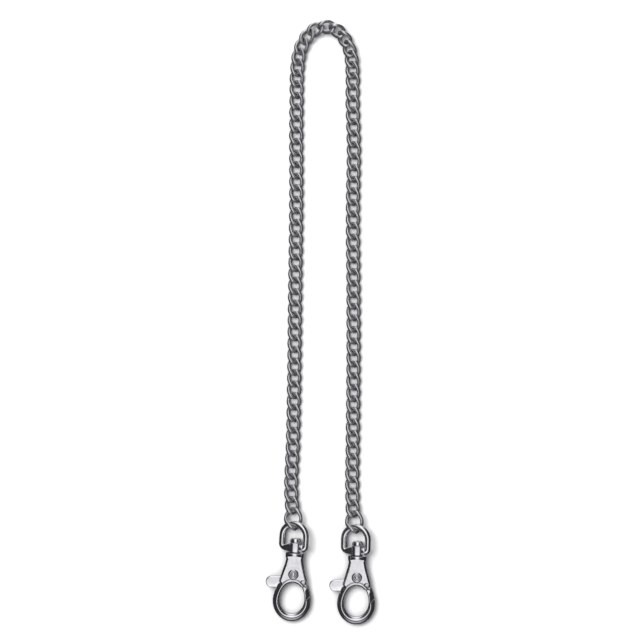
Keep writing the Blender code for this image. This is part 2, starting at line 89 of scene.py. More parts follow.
# Chain, counted from its left end. The fold's links lean by FOLD_ROLL, in degrees.
LEFT_STRAIGHT = 37
RIGHT_STRAIGHT = 38
LINK_COUNT = 87
FOLD_MIDDLE = 43
TABLE_CLEARANCE = 0.01
LOOSE_SEED = 7
LOOSE_SHIFT = 0.01
LOOSE_TURN = 0.5
DIRECTION_SPAN = 0.9

# Route of the chain, from the left end link round the fold to the right one
LEFT_ROUTE = [
    (-9.45, -54.7, 1.45), (-9.42, -50.5, 1.25), (-8.97, -40.8, 1.25), (-8.61, -24.7, 1.25),
    (-8.23, 7.6, 1.25), (-7.84, 39.8, 1.25), (-7.74, 72.1, 1.25), (-7.5, 82.0, 1.25),
]
FOLD_ROUTE = [
    (-6.8, 87.4, 1.4), (-5.1, 91.5, 1.6), (-2.2, 94.6, 2.0), (1.5, 95.67, 2.5),
    (5.2, 94.6, 2.3), (8.0, 91.5, 1.9), (9.7, 87.3, 1.6),
]
RIGHT_ROUTE = [
    (10.3, 82.0, 1.3), (10.35, 72.1, 1.25), (10.75, 56.0, 1.25), (10.48, 39.8, 1.25),
    (10.65, 7.6, 1.25), (10.58, -24.7, 1.25), (10.39, -40.8, 1.25), (10.25, -51.5, 1.25),
    (10.3, -55.6, 1.45),
]
FOLD_ROLL = {39: 10, 40: 10, 41: 10, 43: -20, 44: -30, 45: -30, 46: -30, 47: -20, 48: -10}

# Swivel bow
BOW_WIRE = 1.9
BOW_HALF_WIDTH = 4.05
BOW_TOP = 9.2
BOW_BASE = 1.38
BOW_CORNER = 1.1
BOW_ARCH = 4.0
BOW_ROLL = 20.0
BOW_SHIFT = -0.6
BOW_SWELL_LEFT = 0.55
BOW_SWELL_RIGHT = 0.3
BOW_THICK = 1.6
BASE_HEIGHT = 1.15
BASE_LIFT = 0.3
BOW_SIDES = 24
BOW_EDGE = 0.1

# Barrel in the base of the bow
BARREL_RADIUS = 1.95
BARREL_FLATTENING = 0.84
BARREL_SQUARENESS = 2.5
BARREL_BOTTOM = 0.15
BARREL_TOP = 3.2
BARREL_HOLE = 0.85

# Swivel rivet
STUD_RADIUS = 0.75
STUD_DEPTH = 1.3
STUD_HOLE_DEPTH = 1.4
STUD_HOLE_RADIUS = 0.8
HEAD_BOTTOM = 3.3
HEAD_TOP = 4.9
HEAD_RADIUS = 1.85

# Hook body
FLAT_HEIGHT = 1.95
EYE_Y = -15.6
EYE_HALF_WIDTH = 4.05
EYE_BELOW = 4.5
EYE_ABOVE = 5.9
EYE_SPREAD = (1.9, 1.0)
BEAD_WIDTH = 0.85
STRAND_WIDTH = 1.7
LOOP_HALF_WIDTH = 6.12
LOOP_BELOW = 6.79
SLOT_HALF = 0.85
SLOT_TOP = -4.7
SLOT_BOTTOM = -12.4
PIVOT_Y = -6.9
PIN_RADIUS = 0.8
PIN_HOLE = 0.88
PIN_HEAD_RADIUS = 1.7
PIN_HEAD_GAP = 0.05
PIN_HEAD_HEIGHT = 0.35
ARCH_HALF_WIDTH = 2.9
ARCH_FOOT = -5.0
ARCH_SPRING = -1.95
ARCH_RISE = 1.1
CASTING_EDGE = 0.07

# Trigger
LEVER_HALF = 0.75
LEVER_ROUND = 0.22
HUB_RADIUS = 2.0
HUB_TOP = 0.1
GATE_HALF = 1.3
LEVER_EDGE = 0.04

# Spring
SPRING_WIRE = 0.22
SPRING_RADIUS = 1.25
SPRING_TURNS = 2.0
SPRING_START = 60
SPRING_STEPS = 24
SPRING_LOW = 0.26
SPRING_PITCH = 0.24
SPRING_LEG = 1.1

# Where the hooks lie, and the middle of the whole part
SWIVEL = {"left": (-8.25, -73.7, 3.12), "right": (11.85, -74.7, 3.12)}
LEAN = {"left": -3.8, "right": -1.4}
HOOK_SLOPE = 4.0
END_RUN = {"left": (-0.10, 1.0, -0.25), "right": (-0.12, 1.0, -0.25)}
CENTRE = (-0.11, 0.42, -0.06)

# Camera and studio
CAMERA_X = -0.05
CAMERA_Y = 0.71
FRAME_WIDTH = 207.1
CAMERA_LENS = 120.0
SENSOR = 36.0
CAMERA_FAR = 20000.0
FLOOR_HALF = 2500.0
ROOM_DARK = (0.03, 0.03, 0.034, 1)
SOFTBOX = (1.08, 1.08, 1.1, 1)
BOX_SIDES = (0.1, 0.58)
BOX_NORTH = (150, 179)
BOX_SOUTH = (-78, -30)
KEY_PLACE = (-385.0, 240.0, 925.0)
KEY_SIZE = 580.0
KEY_WATTS = 11.4
# Reach of the shadow painted on the table around the pieces
PAINTED_SHADOW_REACH = 3.6


# ---------------------------------------------------------------- frames

def frame_of(origin, x_axis, y_axis, z_axis):
    """4x4 matrix with these axes and this origin."""
    matrix = np.eye(4)
    matrix[:3, 0] = x_axis
    matrix[:3, 1] = y_axis
    matrix[:3, 2] = z_axis
    matrix[:3, 3] = origin
    return matrix


def turn(axis, degrees):
    """4x4 rotation about a principal axis, 0, 1 or 2."""
    c, s = math.cos(math.radians(degrees)), math.sin(math.radians(degrees))
    i, j = (axis + 1) % 3, (axis + 2) % 3
    matrix = np.eye(4)
    matrix[i, i] = matrix[j, j] = c
    matrix[i, j], matrix[j, i] = -s, s
    return matrix


def shift(x, y, z):
    matrix = np.eye(4)
    matrix[:3, 3] = (x, y, z)
    return matrix


def moved(matrix, points):
    return np.asarray(points) @ matrix[:3, :3].T + matrix[:3, 3]


def unit(vector):
    vector = np.array(vector, float)
    return vector / np.linalg.norm(vector)


PLACED = shift(*(-c for c in CENTRE))


# ---------------------------------------------------------------- pieces

def placed_mesh(name, points, faces, matrix):
    """Smooth-shaded mesh object whose points are in its own frame, in millimetres."""
    mesh = bpy.data.meshes.new(name)
    mesh.from_pydata((np.asarray(points) * MM).tolist(), [], [list(f) for f in faces])
    mesh.polygons.foreach_set("use_smooth", [True] * len(mesh.polygons))
    obj = bpy.data.objects.new(name, mesh)
    bpy.context.scene.collection.objects.link(obj)
    placed = matrix.copy()
    placed[:3, 3] *= MM
    obj.matrix_world = Matrix(placed.tolist())
    return obj


def add_piece(name, points, faces, matrix, material, slot, body, nodes):
    """A piece of the part, which rides on body and stands for these CAD nodes."""
    obj = placed_mesh(name, points, faces, matrix)
    obj.data.validate()
    obj.data.materials.append(material)
    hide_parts(*nodes)
    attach(obj, body)
    return obj


def combine(obj, cutters):
    """Applies Booleans to obj in turn, from pairs of (solid, operation), and removes the solids."""
    for cutter, operation in cutters:
        modifier = obj.modifiers.new(cutter.name, "BOOLEAN")
        modifier.operation = operation
        modifier.object = cutter
        modifier.solver = "EXACT"
    bpy.context.view_layer.update()
    graph = bpy.context.evaluated_depsgraph_get()
    mesh = bpy.data.meshes.new_from_object(obj.evaluated_get(graph))
    old = obj.data
    obj.modifiers.clear()
    obj.data = mesh
    bpy.data.meshes.remove(old)
    for cutter, _ in cutters:
        bpy.data.objects.remove(cutter, do_unlink=True)


def settle(pieces):
    """Moves each piece's points into the row frame, so that its own box is its true one."""
    for obj in pieces:
        obj.data.transform(obj.matrix_world)
        obj.matrix_world = Matrix.Identity(4)


def soften(obj, width):
    """Breaks the sharp edges that the Booleans leave, and shades across the soft ones."""
    bevel = obj.modifiers.new("broken_edges", "BEVEL")
    bevel.width = width * MM
    bevel.segments = 2
    bevel.limit_method = "ANGLE"
    bevel.angle_limit = math.radians(EDGE_ANGLE)
    bevel.harden_normals = True
    bevel.miter_outer = "MITER_ARC"


def loft(rings, closed):
    """Points and outward faces of a bar through equal rings."""
    count, sides = len(rings), len(rings[0])
    points = np.concatenate(rings)
    faces = []
    for i in range(count if closed else count - 1):
        a, b = i * sides, (i + 1) % count * sides
        for j in range(sides):
            k = (j + 1) % sides
            faces.append((a + j, b + j, b + k, a + k))
    if not closed:
        faces.append(tuple(range(sides)))
        last = (count - 1) * sides
        faces.append(tuple(reversed(range(last, last + sides))))
    return points, faces


def revolve(profile, sides):
    """Solid of revolution about Y from (radius, y) points that start and end on the axis,
    listed from its top to its bottom."""
    rings = profile[1:-1]
    points = [(0.0, profile[0][1], 0.0)]
    for radius, y in rings:
        for k in range(sides):
            angle = 2 * math.pi * k / sides
            points.append((radius * math.sin(angle), y, radius * math.cos(angle)))
    points.append((0.0, profile[-1][1], 0.0))
    faces = []
    end = len(points) - 1
    last = 1 + (len(rings) - 1) * sides
    for k in range(sides):
        n = (k + 1) % sides
        faces.append((0, 1 + k, 1 + n))
        faces.append((end, last + n, last + k))
        for i in range(len(rings) - 1):
            a = 1 + i * sides
            faces.append((a + k, a + sides + k, a + sides + n, a + n))
    return points, faces


def prism(outline, low, high):
    """Upright prism on a counter-clockwise (x, y) outline."""
    count = len(outline)
    points = [(x, y, low) for x, y in outline] + [(x, y, high) for x, y in outline]
    faces = [tuple(reversed(range(count))), tuple(range(count, 2 * count))]
    for i in range(count):
        j = (i + 1) % count
        faces.append((i, j, count + j, count + i))
    return points, faces


def inset(outline, distance):
    """The outline moved inwards by a distance, corner by corner."""
    outline = np.array(outline, float)
    sides = []
    for edge in (outline - np.roll(outline, 1, axis=0), np.roll(outline, -1, axis=0) - outline):
        along_edge = edge / np.linalg.norm(edge, axis=1)[:, None]
        sides.append(np.stack([-along_edge[:, 1], along_edge[:, 0]], 1))
    inward = (sides[0] + sides[1]) / (1 + (sides[0] * sides[1]).sum(1))[:, None]
    return outline + distance * inward


def stepped_prism(outline, rim):
    """Prism whose rim climbs inwards by (inset, height) steps. Its lower half mirrors the upper."""
    levels = [(depth, -z) for depth, z in reversed(rim)] + rim
    rings = [np.column_stack([inset(outline, depth), np.full(len(outline), z)])
             for depth, z in levels]
    points, faces = loft(rings, closed=False)
    return points, [tuple(reversed(face)) for face in faces]


def rounded_prism(outline, half, radius, steps=4):
    """Prism from -half to half whose rims are rounded."""
    bends = [math.pi / 2 * k / steps for k in range(steps + 1)]
    rim = [(radius * (1 - math.cos(a)), half - radius + radius * math.sin(a)) for a in bends]
    return stepped_prism(outline, rim)


def rounded(points, passes, closed=True):
    """Corners cut away in passes. Straight runs stay straight."""
    points = np.array(points, float)
    for _ in range(passes):
        after = np.roll(points, -1, axis=0)
        cut = np.empty((2 * len(points), points.shape[1]))
        cut[0::2] = 0.75 * points + 0.25 * after
        cut[1::2] = 0.25 * points + 0.75 * after
        if not closed:
            cut = np.vstack([points[:1], cut[:-2], points[-1:]])
        points = cut
    return points


def arc(centre, radius, start, end, count):
    """Points on a circle, from angle start to angle end in degrees."""
    angles = np.radians(np.linspace(start, end, count))
    return [(centre[0] + radius * math.cos(a), centre[1] + radius * math.sin(a)) for a in angles]


def smooth_route(points, steps=60):
    """Points along a smooth curve through the given points."""
    points = np.array(points, float)
    padded = np.vstack([2 * points[0] - points[1], points, 2 * points[-1] - points[-2]])
    gaps = np.linalg.norm(np.diff(padded, axis=0), axis=1)[:, None]
    slopes = np.diff(padded, axis=0) / gaps
    tangents = slopes[:-1] * gaps[1:] + slopes[1:] * gaps[:-1]
    tangents /= gaps[:-1] + gaps[1:]
    curve = []
    for i in range(len(points) - 1):
        t = np.arange(steps)[:, None] / steps
        reach = gaps[i + 1]
        curve.append((2 * t**3 - 3 * t**2 + 1) * points[i]
                     + (t**3 - 2 * t**2 + t) * tangents[i] * reach
                     + (3 * t**2 - 2 * t**3) * points[i + 1]
                     + (t**3 - t**2) * tangents[i + 1] * reach)
    curve.append(points[-1:])
    return np.concatenate(curve)


def along(curve, distances):
    """Points at these distances along a curve."""
    lengths = np.concatenate([[0], np.cumsum(np.linalg.norm(np.diff(curve, axis=0), axis=1))])
    return np.stack([np.interp(distances, lengths, column) for column in curve.T], 1)


# ---------------------------------------------------------------- links

def link_centreline(turns, half_length, half_width, twist_up, twist_down):
    """Points, tangents and inward directions along a twisted link whose long axis is Y."""

    def at(t):
        c, s = np.cos(t), np.sin(t)
        power = 2 / LINK_SQUARENESS
        u = half_length * np.sign(c) * np.abs(c) ** power
        v = half_width * np.sign(s) * np.abs(s) ** power
        twist = np.radians(np.where(u > 0, twist_up, twist_down)) * u / half_length
        flat = np.stack([np.cos(twist), np.zeros_like(u), np.sin(twist)], 1)
        return flat * v[:, None] + np.stack([0 * u, u, 0 * u], 1), flat

    points, flat = at(turns)
    tangents = at(turns + 1e-4)[0] - at(turns - 1e-4)[0]
    tangents /= np.linalg.norm(tangents, axis=1)[:, None]
    inward = -flat * np.sin(turns)[:, None]
    inward[:, 1] -= np.cos(turns)
    inward -= tangents * (inward * tangents).sum(1)[:, None]
    inward /= np.linalg.norm(inward, axis=1)[:, None]
    return points, tangents, inward


def link_mesh(wire, half_length, half_width, twist_up, twist_down, seam_at):
    """Tube around a twisted link, with the closed butt of the wire as a fine groove."""
    turns = 2 * math.pi * (np.arange(LINK_STATIONS) + 0.5) / LINK_STATIONS
    groove = seam_at + SEAM_HALF * np.array([-1.0, -0.45, 0.0, 0.45, 1.0])
    turns = turns[np.abs(turns - seam_at) > 1.5 * SEAM_HALF]
    turns = np.sort(np.concatenate([turns, groove]))
    depth = np.where(np.abs(turns - seam_at) < 0.6 * SEAM_HALF, SEAM_DEPTH, 0.0)
    points, tangents, inward = link_centreline(
        turns, half_length, half_width, twist_up, twist_down)
    across = np.cross(tangents, inward)
    angles = 2 * math.pi * np.arange(WIRE_SIDES) / WIRE_SIDES
    rings = []
    for k in range(len(turns)):
        ring = np.cos(angles)[:, None] * inward[k] - np.sin(angles)[:, None] * across[k]
        rings.append(points[k] + ring * (wire / 2 - depth[k]))
    return loft(rings, closed=True)


def lying_frame(origin, direction, roll):
    """Frame at origin with Y along direction and Z as near upright as it goes, then rolled."""
    y_axis = direction / np.linalg.norm(direction)
    z_axis = np.array([0.0, 0.0, 1.0]) - y_axis * y_axis[2]
    z_axis /= np.linalg.norm(z_axis)
    return frame_of(origin, np.cross(y_axis, z_axis), y_axis, z_axis) @ turn(1, -roll)


def link_frames(start, finish):
    """Frames of the links from the left end of the chain to the right end."""
    curve = smooth_route([start] + LEFT_ROUTE + FOLD_ROUTE + RIGHT_ROUTE + [finish])
    total = np.linalg.norm(np.diff(curve, axis=0), axis=1).sum()
    left = np.arange(LEFT_STRAIGHT) * LINK_PITCH
    right = total - np.arange(RIGHT_STRAIGHT)[::-1] * LINK_PITCH
    bunched = LINK_COUNT - LEFT_STRAIGHT - RIGHT_STRAIGHT
    fold = np.linspace(left[-1], right[0], bunched + 2)[1:-1]
    distances = np.concatenate([left, fold, right])
    centres = along(curve, distances)
    ahead = along(curve, distances + DIRECTION_SPAN)
    directions = ahead - along(curve, distances - DIRECTION_SPAN)
    return [lying_frame(centres[i], directions[i], FOLD_ROLL.get(i, 0))
            for i in range(LINK_COUNT)]


def link_home(index):
    """(CAD node, body) of a link, by its number along the chain."""
    offset = index - FOLD_MIDDLE
    if offset == 0:
        return "fold_link_middle", "fold_middle"
    side = "left" if offset < 0 else "right"
    if abs(offset) == 1:
        return f"fold_link_{side}", f"fold_{side}"
    pair = abs(offset) // 2
    return f"{side}_chain_links_{pair:02d}", f"{side}_chain_{pair:02d}"


def add_chain(frames, material):
    """Every curb link as its own piece, each turned a little from its neighbours."""
    meshes = [link_mesh(LINK_WIRE, LINK_HALF_LENGTH, LINK_HALF_WIDTH, LINK_TWIST, LINK_TWIST,
                        seam_at) for seam_at in (math.pi / 2, 3 * math.pi / 2)]
    for index, matrix in enumerate(frames):
        node, body = link_home(index)
        points, faces = meshes[index % 2]
        slide = random.uniform(-LOOSE_SHIFT, LOOSE_SHIFT)
        loose = shift(0, slide, 0) @ turn(1, random.uniform(-LOOSE_TURN, LOOSE_TURN))
        place = PLACED @ matrix @ loose
        lift = max(0.0, TABLE_CLEARANCE - moved(place, points)[:, 2].min())
        add_piece(f"curb_link_{index + 1:02d}", points, faces, shift(0, 0, lift) @ place,
                  material, "chain_steel", body, [node])


def add_end_link(side, bow_point, material):
    """The larger ring between a bow and the first curb link."""
    run = unit(END_RUN[side])
    matrix = lying_frame(bow_point + END_TO_BOW * run, run, 0.0)
    points, faces = link_mesh(END_WIRE, END_HALF_LENGTH, END_HALF_WIDTH, END_TWIST_CHAIN,
                              END_TWIST_BOW, 3 * math.pi / 2)
    add_piece(f"{side}_end_ring", points, faces, PLACED @ matrix, material, "chain_steel",
              f"{side}_end", [f"{side}_end_link"])


# ---------------------------------------------------------------- hook parts

def eye_point(angle):
    """Point on the eye's edge, an egg that is narrower towards the swivel."""
    a = math.radians(angle)
    height = EYE_ABOVE if math.sin(a) > 0 else EYE_BELOW
    return np.array([EYE_HALF_WIDTH * math.cos(a), EYE_Y + height * math.sin(a)])


def beside_eye(angle, distance):
    """Point at a distance outside the eye's edge."""
    edge = eye_point(angle)
    return edge + distance * unit((edge - (0.0, EYE_Y)) * EYE_SPREAD)


def loop_outline():
    """(angle at the eye, outer x, outer y) of the loop from the gate's side round to the tip."""
    table = [(52, 4.7, -9.9), (59, 4.3, -9.0)]
    for angle in (68, 79, 90, 101, 112, 122):
        table.append((angle, *beside_eye(angle, STRAND_WIDTH)))
    table += [(131, -4.75, -10.3), (142, -5.37, -12.0), (154, -5.77, -13.4),
              (167, -6.03, -14.6), (180, -6.12, -15.7)]
    for angle in range(192, 349, 12):
        a = math.radians(angle)
        table.append((angle, LOOP_HALF_WIDTH * math.cos(a), EYE_Y + LOOP_BELOW * math.sin(a)))
    table.append((360, 6.02, -13.75))
    return np.array(table, float)


def loop_section(inner, outer):
    """Ring around the bar between the eye's edge and the outer edge: a bead and a sloped ledge."""
    width = np.linalg.norm(outer - inner)
    top = np.array([
        (0, 0.85), (0.12, 1.2), (0.32, 1.5), (0.58, 1.66), (0.84, 1.67), (1.0, 1.58),
        (1.09, 1.38), (1.28, 1.31), (width - 0.4, 1.08), (width - 0.2, 0.92),
        (width - 0.06, 0.72), (width, 0.45),
    ])
    section = rounded(np.concatenate([top, top[::-1] * (1, -1)]), 1)
    across = (outer - inner) / width
    return np.column_stack([inner + section[:, :1] * across, section[:, 1]])


def loop_rings():
    """Sections of the loop, with a rounded tip."""
    rings = [loop_section(eye_point(row[0]), row[1:])
             for row in smooth_route(loop_outline(), steps=6)]
    last = rings[-1]
    rings[-1] = last - (0.0, 0.12, 0.0)
    rings.append(last.mean(0) + (last - last.mean(0)) * 0.93)
    return rings


def plate_outline():
    """Counter-clockwise outline of the shoulder plate. Its lower side follows the eye's bead."""
    sides = [(2.36, -0.9), (-2.36, -0.9), (-2.95, -4.0), (-3.6, -6.2), (-4.25, -8.4),
             (-4.55, -9.6)]
    follow = []
    for angle in np.linspace(131, 62, 16):
        follow.append(tuple(beside_eye(angle, BEAD_WIDTH)))
    return sides + follow + [(3.0, -9.15), (4.42, -9.1), (4.3, -8.4), (3.65, -6.2), (3.0, -4.0)]


def chamfered_plate():
    rim = [(0.0, 1.05), (0.14, 1.35), (0.34, 1.7), (0.52, 1.9), (0.6, FLAT_HEIGHT)]
    return stepped_prism(plate_outline(), rim)


def collar_profile():
    corners = [(0.0, 0.0), (2.64, 0.0), (2.93, -0.25), (2.93, -1.45), (2.8, -1.75),
               (2.45, -2.9), (0.0, -2.9)]
    return rounded(corners, 2, closed=False)


def flat_arch():
    """Outline within which each face of the shoulder runs up flat into the collar."""
    arch = [(ARCH_HALF_WIDTH * math.cos(a), ARCH_SPRING + ARCH_RISE * math.sin(a))
            for a in np.radians(range(0, 181, 6))]
    return [(-ARCH_HALF_WIDTH, ARCH_FOOT), (ARCH_HALF_WIDTH, ARCH_FOOT)] + arch


def add_hook_body(side, matrix, material):
    """Loop, shoulder plate and collar in one casting, cut for the lever, the pin and the stud."""
    name = f"{side}_hook_casting"
    points, faces = loft(loop_rings(), closed=False)
    body = add_piece(name, points, faces, matrix, material, "hook_nickel", f"{side}_hook",
                     [f"{side}_hook_body"])
    arch = flat_arch()
    slab = [(-8, SLOT_BOTTOM), (8, SLOT_BOTTOM), (8, SLOT_TOP), (-8, SLOT_TOP)]
    circle = arc((0, PIVOT_Y), PIN_HOLE, 0, 360, 33)[:-1]
    bore = [(0, 1), (STUD_HOLE_RADIUS, 1), (STUD_HOLE_RADIUS, -STUD_HOLE_DEPTH),
            (0, -STUD_HOLE_DEPTH)]
    combine(body, [
        (placed_mesh(f"{name}_plate", *chamfered_plate(), matrix), "UNION"),
        (placed_mesh(f"{name}_collar", *revolve(collar_profile(), 64), matrix), "UNION"),
        (placed_mesh(f"{name}_top", *prism(arch, FLAT_HEIGHT, 4), matrix), "DIFFERENCE"),
        (placed_mesh(f"{name}_back", *prism(arch, -4, -FLAT_HEIGHT), matrix), "DIFFERENCE"),
        (placed_mesh(f"{name}_slot", *prism(slab, -SLOT_HALF, SLOT_HALF), matrix), "DIFFERENCE"),
        (placed_mesh(f"{name}_pin", *prism(circle, -4, 4), matrix), "DIFFERENCE"),
        (placed_mesh(f"{name}_bore", *revolve(bore, 32), matrix), "DIFFERENCE"),
    ])
    soften(body, CASTING_EDGE)


def add_swivel_rivet(side, matrix, material):
    dome = [(0, HEAD_TOP), (0.7, HEAD_TOP), (1.35, HEAD_TOP - 0.3), (1.7, HEAD_TOP - 0.85),
            (HEAD_RADIUS, HEAD_TOP - 1.3), (1.62, HEAD_BOTTOM)]
    stud = [(STUD_RADIUS, HEAD_BOTTOM), (STUD_RADIUS, -STUD_DEPTH), (0, -STUD_DEPTH)]
    profile = np.vstack([rounded(dome, 2, closed=False), stud])
    add_piece(f"{side}_swivel_stud", *revolve(profile, 48), matrix, material, "hook_nickel",
              f"{side}_hook", [f"{side}_swivel_rivet"])


def bow_path():
    """Points around the D, from the middle of its base up the right side."""
    x, low, high = BOW_HALF_WIDTH, BOW_BASE, BOW_TOP - BOW_ARCH
    right = [(k * 0.4, low) for k in range(1, 8)]
    right += arc((x - BOW_CORNER, low + BOW_CORNER), BOW_CORNER, -80, 0, 9)
    right += [(x, y) for y in np.linspace(low + BOW_CORNER, high, 7)[1:]]
    right += [(x * math.cos(a), high + BOW_ARCH * math.sin(a))
              for a in np.radians(np.linspace(6, 90, 15))]
    left = [(-px, py) for px, py in reversed(right[:-1])]
    path = np.array([(0.0, low)] + right + left)
    return np.column_stack([path[:, 0] + BOW_SHIFT, path[:, 1], np.zeros(len(path))])


def flattened(points):
    """Points of the round barrel moved to its squarish, flattened section."""
    points = np.array(points, float)
    reach = np.hypot(points[:, 0], points[:, 2])
    safe = np.maximum(reach, 1e-9)
    power = 2 / BARREL_SQUARENESS
    for axis, scale in ((0, 1.0), (2, BARREL_FLATTENING)):
        share = points[:, axis] / safe
        points[:, axis] = scale * reach * np.sign(share) * np.abs(share) ** power
    return points


def bow_rings():
    """Sections around the D, thicker towards the barrel in its base."""
    path = bow_path()
    tangents = np.roll(path, -1, axis=0) - np.roll(path, 1, axis=0)
    tangents /= np.linalg.norm(tangents, axis=1)[:, None]
    angles = 2 * math.pi * np.arange(BOW_SIDES) / BOW_SIDES
    rings = []
    for centre, tangent in zip(path, tangents):
        inward = np.array([-tangent[1], tangent[0], 0.0])
        away = np.clip((abs(centre[0]) - BOW_THICK) / (BOW_HALF_WIDTH - BOW_THICK), 0, 1)
        low = np.clip(1 - (centre[1] - BOW_BASE) / BOW_CORNER, 0, 1)
        swell = (BOW_SWELL_LEFT if centre[0] < 0 else BOW_SWELL_RIGHT) * low * (1 - away)
        radius = BOW_WIRE / 2 + swell
        centre = centre + (0.0, BASE_LIFT * swell, 0.0)
        ring = np.cos(angles)[:, None] * inward - np.sin(angles)[:, None] * (0, 0, 1)
        ring = centre + ring * radius
        ring[:, 2] *= min(1.0, BASE_HEIGHT / radius)
        rings.append(ring)
    return rings


def barrel_solid():
    profile = [(0, BARREL_TOP), (BARREL_RADIUS - 0.2, BARREL_TOP),
               (BARREL_RADIUS, BARREL_TOP - 0.2), (BARREL_RADIUS, BARREL_BOTTOM + 0.2),
               (BARREL_RADIUS - 0.2, BARREL_BOTTOM), (0, BARREL_BOTTOM)]
    points, faces = revolve(rounded(profile, 1, closed=False), 48)
    return flattened(points), faces


def add_swivel_bow(side, matrix, material):
    """D-shaped bow and the barrel in its base, bored for the stud. The barrel lies level."""
    name = f"{side}_swivel_ring"
    bow = add_piece(name, *loft(bow_rings(), closed=True), matrix, material, "hook_nickel",
                    f"{side}_bow", [f"{side}_swivel_bow"])
    bore = [(0, 5), (BARREL_HOLE, 5), (BARREL_HOLE, -1), (0, -1)]
    level = matrix @ turn(1, BOW_ROLL)
    combine(bow, [(placed_mesh(f"{name}_barrel", *barrel_solid(), level), "UNION"),
                  (placed_mesh(f"{name}_bore", *revolve(bore, 32), matrix), "DIFFERENCE")])
    soften(bow, BOW_EDGE)


def lever_outline():
    """Counter-clockwise outline of the lever plate, from the thumb tab to the gate."""
    tab = arc((-7.0, -9.95), 1.75, 95, 270, 28)
    under = rounded([(-6.9, -11.7), (-4.3, -11.6), (-2.6, -10.35), (-1.3, -9.45), (1.3, -9.45),
                     (2.5, -10.3), (3.3, -11.6)], 2, closed=False)
    over = [(4.5, -10.6), (4.05, -8.9), (1.75, -6.1)]
    hub = arc((0, PIVOT_Y), HUB_RADIUS - 0.15, 25, 155, 16)
    shoulder = [(-1.9, -6.3), (-3.4, -7.8)]
    return tab + [tuple(p) for p in under[1:]] + over + hub + shoulder


def gate_rings():
    """Sections of the gate bar from its top to its slanted foot: a ridge with a long outer slope."""
    stations = [((3.12, -10.75), (4.75, -10.3), 0.55, 0.9),
                ((3.0, -11.15), (4.95, -10.75), 1.0, 1.25),
                ((3.3, -11.8), (5.15, -11.3), 1.0, 1.25),
                ((3.5, -12.3), (5.3, -11.75), 1.0, 0.7),
                ((3.72, -12.9), (5.48, -12.3), 1.0, 0.55),
                ((3.92, -13.7), (5.66, -12.95), 1.0, 0.5),
                ((4.03, -14.6), (5.77, -13.35), 1.0, 0.5),
                ((4.05, -15.3), (5.82, -13.62), 1.0, 0.5)]
    rings = []
    for inner, outer, height, ridge in stations:
        inner, outer = np.array(inner), np.array(outer)
        width = np.linalg.norm(outer - inner)
        top = np.array([(0, 0.5), (0.08, 1.0), (0.2, 1.26), (ridge - 0.2, GATE_HALF),
                        (ridge, 1.26), (width - 0.35, 0.8), (width - 0.1, 0.6), (width, 0.35)])
        top[:, 1] *= height
        section = rounded(np.concatenate([top, top[::-1] * (1, -1)]), 1)
        across = (outer - inner) / width
        rings.append(np.column_stack([inner + section[:, :1] * across, section[:, 1]]))
    return rings


def add_trigger(side, matrix, material):
    name = f"{side}_trigger_lever"
    lever = add_piece(name, *rounded_prism(lever_outline(), LEVER_HALF, LEVER_ROUND), matrix,
                      material, "hook_nickel", f"{side}_trigger", [f"{side}_trigger"])
    recess = arc((0, PIVOT_Y), HUB_RADIUS + 0.1, 0, 360, 41)[:-1]
    hole = arc((0, PIVOT_Y), PIN_HOLE, 0, 360, 33)[:-1]
    gate = loft(gate_rings(), closed=False)
    combine(lever, [
        (placed_mesh(f"{name}_gate", *gate, matrix), "UNION"),
        (placed_mesh(f"{name}_recess", *prism(recess, HUB_TOP, 2), matrix), "DIFFERENCE"),
        (placed_mesh(f"{name}_hole", *prism(hole, -2, 2), matrix), "DIFFERENCE"),
    ])
    soften(lever, LEVER_EDGE)


def add_pivot_pin(side, matrix, material):
    """Pin with a headed end on each face: a raised rim, a sunk ring and a low middle."""
    seat = FLAT_HEIGHT + PIN_HEAD_GAP
    top = seat + PIN_HEAD_HEIGHT
    head = [(0, top - 0.03), (0.42, top - 0.06), (0.56, top - 0.16), (0.66, top - 0.36),
            (0.94, top - 0.36), (1.02, top - 0.14), (1.12, top - 0.01), (1.3, top - 0.02),
            (1.44, top - 0.14), (PIN_HEAD_RADIUS, top - 0.38), (PIN_HEAD_RADIUS, seat),
            (PIN_RADIUS, seat)]
    head = rounded(head, 1, closed=False)
    foot = head[::-1] * (1, -1)
    upright = matrix @ shift(0, PIVOT_Y, 0) @ turn(0, 90)
    add_piece(f"{side}_pivot_rivet", *revolve(np.vstack([head, foot]), 48), upright, material,
              "pin_steel", f"{side}_hook", [f"{side}_pivot_pin"])


def add_spring(side, matrix, material):
    """Coil around the pin, with one straight leg along the lever."""
    count = np.arange(int(SPRING_TURNS * SPRING_STEPS) + 1)
    angles = np.radians(SPRING_START + 360 / SPRING_STEPS * count)
    path = np.column_stack([SPRING_RADIUS * np.cos(angles), SPRING_RADIUS * np.sin(angles),
                            SPRING_LOW + SPRING_PITCH * count / SPRING_STEPS])
    leg = path[-1] + SPRING_LEG * np.array([-math.sin(angles[-1]), math.cos(angles[-1]), 0])
    path = np.vstack([path, leg])
    tangents = np.gradient(path, axis=0)
    tangents /= np.linalg.norm(tangents, axis=1)[:, None]
    turns = 2 * math.pi * np.arange(8) / 8
    rings = []
    for centre, tangent in zip(path, tangents):
        out = unit(np.cross((0, 0, 1), tangent))
        up = np.cross(tangent, out)
        ring = np.cos(turns)[:, None] * out - np.sin(turns)[:, None] * up
        rings.append(centre + ring * SPRING_WIRE / 2)
    add_piece(f"{side}_torsion_spring", *loft(rings, closed=False),
              matrix @ shift(0, PIVOT_Y, 0), material, "spring_steel", f"{side}_hook",
              [f"{side}_trigger_spring"])


def hook_frame(side):
    return shift(*SWIVEL[side]) @ turn(2, LEAN[side]) @ turn(0, HOOK_SLOPE)


# ---------------------------------------------------------------- materials

